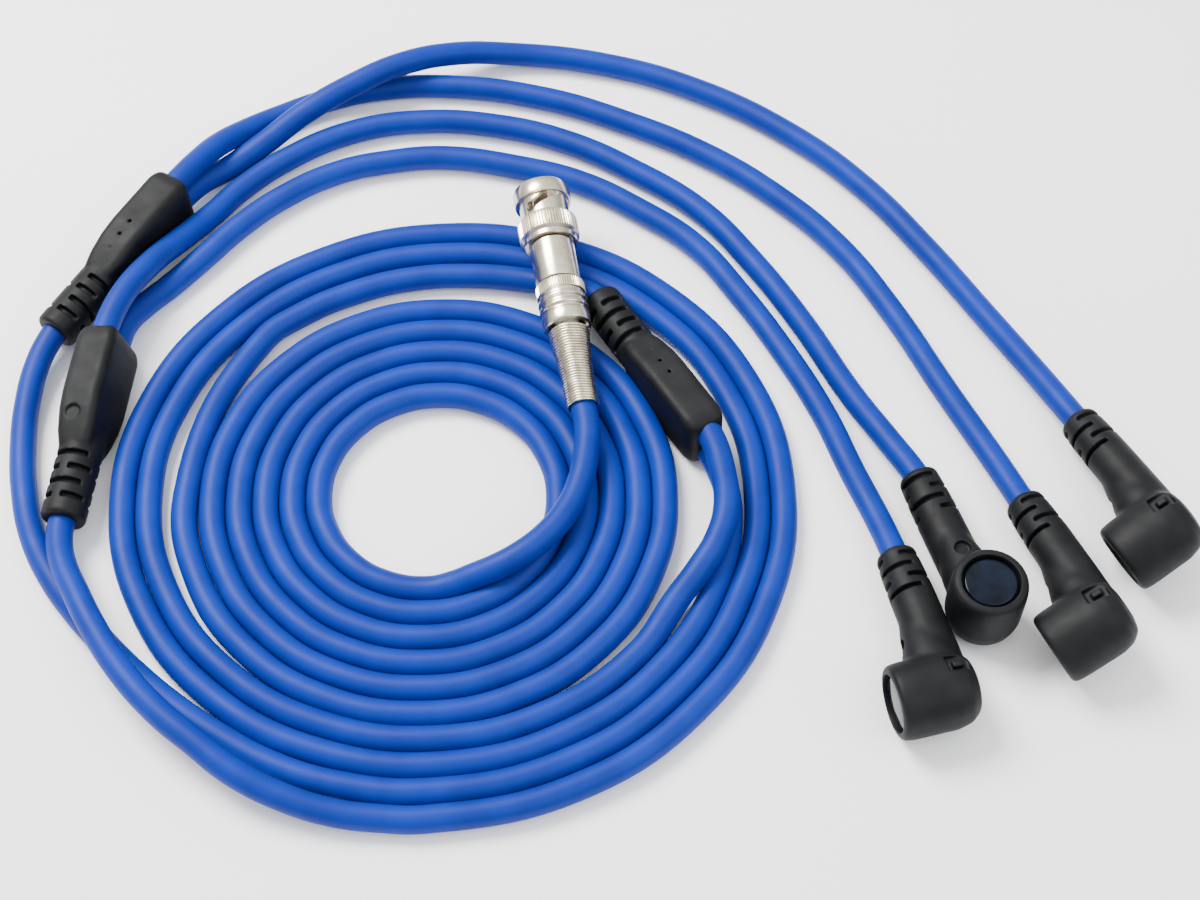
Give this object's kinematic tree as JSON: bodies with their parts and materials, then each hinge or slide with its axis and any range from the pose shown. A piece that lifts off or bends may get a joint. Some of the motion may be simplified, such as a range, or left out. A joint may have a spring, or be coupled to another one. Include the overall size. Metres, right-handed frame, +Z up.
{
  "type": "ignition pickup probe lead set",
  "caption": "Coiled blue coaxial lead set: a BNC plug branches through moulded Y splitters to right-angle ignition coil pickup probes.",
  "frame": {"origin": "on the floor plane, under the middle of the box round the plug, splitters and probes", "axes": "+X to the probes' side, +Y towards the plug's open end, +Z up from the surface that the set lies on"},
  "size_m": [0.2689, 0.2146, 0.0213],
  "materials": {
    "nickel_plate": "bright nickel plate on turned brass, slightly warm",
    "spring_steel": "nickel-plated spring wire, drawn",
    "gold_plate": "gold plate on brass",
    "ptfe": "turned PTFE and polyethylene core, waxy",
    "nylon": "natural moulded nylon",
    "silicone_seal": "red silicone",
    "boot_rubber": "black moulded PVC rubber, satin with faint flow marks",
    "gloss_cap": "black cast resin, glossy, with hairline scratches",
    "tinned_copper": "tinned copper crimp tube",
    "enamelled_copper": "enamelled copper winding",
    "ferrite": "sintered ferrite",
    "blue_jacket": "blue extruded PVC jacket, satin"
  },
  "bodies": {
    "root": {"plug_body": "nickel_plate", "outer_contact": "nickel_plate", "backshell": "nickel_plate", "strain_spring": "spring_steel", "plug_insulator": "ptfe", "centre_pin": "gold_plate", "face_seal": "silicone_seal", "retaining_ring": "spring_steel", "wave_washer": "spring_steel", "cable_clamp_bush": "boot_rubber", "cable_core": "ptfe", "main_splitter_boot": "boot_rubber", "main_splitter_core": "nylon", "main_splitter_signal_crimp": "tinned_copper", "main_splitter_shield_crimp": "tinned_copper", "front_splitter_boot": "boot_rubber", "front_splitter_core": "nylon", "front_splitter_signal_crimp": "tinned_copper", "front_splitter_shield_crimp": "tinned_copper", "rear_splitter_boot": "boot_rubber", "rear_splitter_core": "nylon", "rear_splitter_signal_crimp": "tinned_copper", "rear_splitter_shield_crimp": "tinned_copper", "probe_1_boot": "boot_rubber", "probe_1_sensing_disc": "gloss_cap", "probe_1_bobbin": "nylon", "probe_1_winding": "enamelled_copper", "probe_1_ferrite_core": "ferrite", "probe_2_boot": "boot_rubber", "probe_2_sensing_disc": "gloss_cap", "probe_2_bobbin": "nylon", "probe_2_winding": "enamelled_copper", "probe_2_ferrite_core": "ferrite", "probe_3_boot": "boot_rubber", "probe_3_sensing_disc": "gloss_cap", "probe_3_bobbin": "nylon", "probe_3_winding": "enamelled_copper", "probe_3_ferrite_core": "ferrite", "probe_4_boot": "boot_rubber", "probe_4_sensing_disc": "gloss_cap", "probe_4_bobbin": "nylon", "probe_4_winding": "enamelled_copper", "probe_4_ferrite_core": "ferrite", "main_lead_plug_end": "blue_jacket", "main_coil": "blue_jacket", "main_lead_splitter_end": "blue_jacket", "branch_a_splitter_end": "blue_jacket", "branch_b_splitter_end": "blue_jacket", "branch_coil": "blue_jacket", "branch_a_rear_end": "blue_jacket", "branch_b_front_end": "blue_jacket", "probe_1_lead": "blue_jacket", "probe_2_lead": "blue_jacket", "probe_3_lead": "blue_jacket", "probe_4_lead": "blue_jacket"},
    "nut_washer": {"thrust_washer": "nickel_plate"},
    "nut": {"coupling_nut": "nickel_plate"}
  },
  "joints": [
    {"name": "nut_slide", "type": "slide", "parent": "root", "child": "nut_washer", "axis": [-0.1739, 0.9832, 0.0553], "range_m": [0, 0.0008], "stiffness_N_per_m": 5000, "springref_m": -0.0002},
    {"name": "nut_spin", "type": "hinge", "parent": "nut_washer", "child": "nut", "pos_m": [-0.01141, 0.05863, 0.01386], "axis": [-0.1739, 0.9832, 0.0553], "continuous": true}
  ]
}
